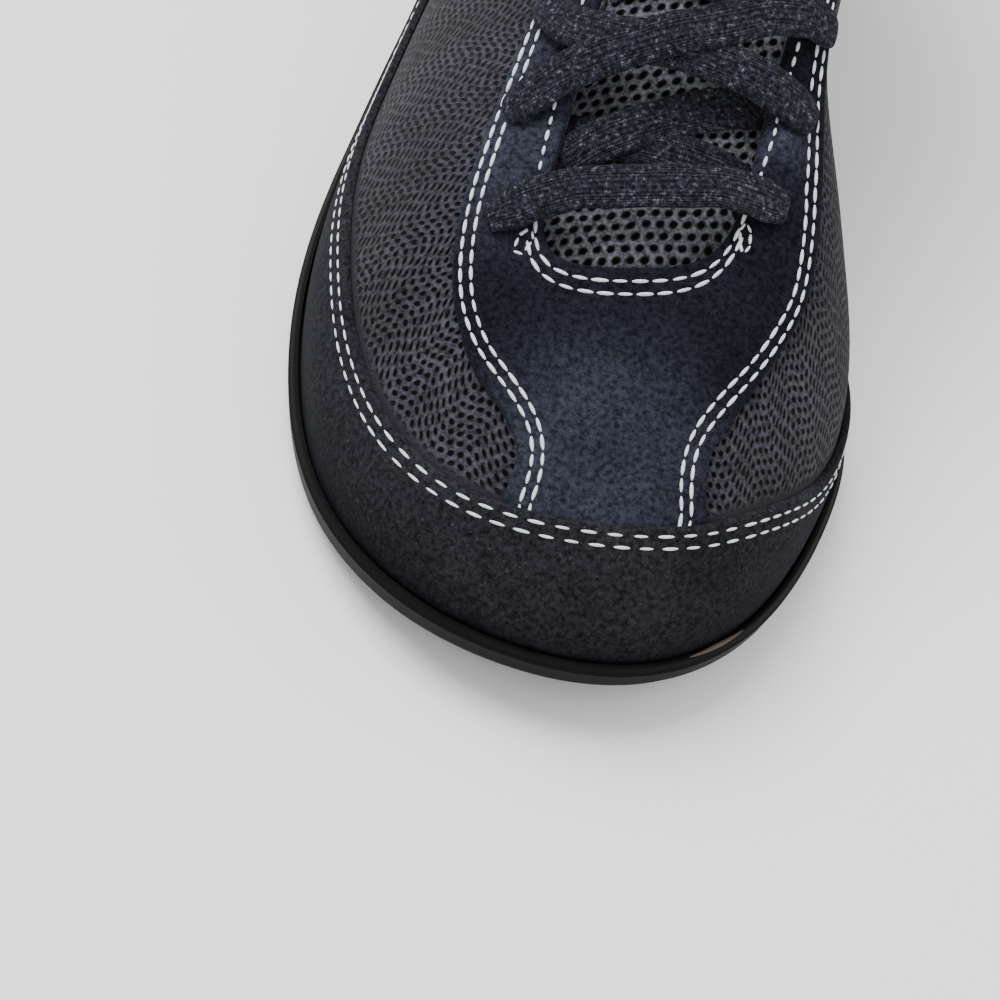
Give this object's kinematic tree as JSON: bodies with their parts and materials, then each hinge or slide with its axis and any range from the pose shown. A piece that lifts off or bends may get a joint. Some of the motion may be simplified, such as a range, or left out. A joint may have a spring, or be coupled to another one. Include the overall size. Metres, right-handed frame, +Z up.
{
  "type": "wrestling shoe",
  "caption": "Black high-top wrestling shoe: thin rubber sole, suede toe rand and eyestays with white double stitching, mesh sides, crossed flat laces.",
  "frame": {"origin": "middle of the shoe's bounding box, on the plane that the sole stands on", "axes": "+X towards the inner (big toe) side of the foot, -Y towards the toe, +Z up"},
  "size_m": [0.1066, 0.2784, 0.158],
  "materials": {
    "black_rubber": "satin",
    "mesh_cloth": "matte",
    "rand_suede": "matte",
    "counter_suede": "matte",
    "eyestay_suede": "matte",
    "cuff_suede": "matte",
    "tongue_mesh": "matte",
    "insole_cloth": "matte",
    "lace_cloth": "matte"
  },
  "bodies": {
    "root": {"outsole": "black_rubber", "insole": "insole_cloth", "upper": "mesh_cloth", "toe_rand": "rand_suede", "heel_counter": "counter_suede", "eyestay": "eyestay_suede", "collar_cuff": "cuff_suede", "tongue": "tongue_mesh", "lace_bar": "lace_cloth", "lace_cross_1": "lace_cloth", "lace_cross_2": "lace_cloth", "lace_cross_3": "lace_cloth", "lace_cross_4": "lace_cloth", "lace_cross_5": "lace_cloth", "lace_cross_6": "lace_cloth"}
  },
  "joints": []
}
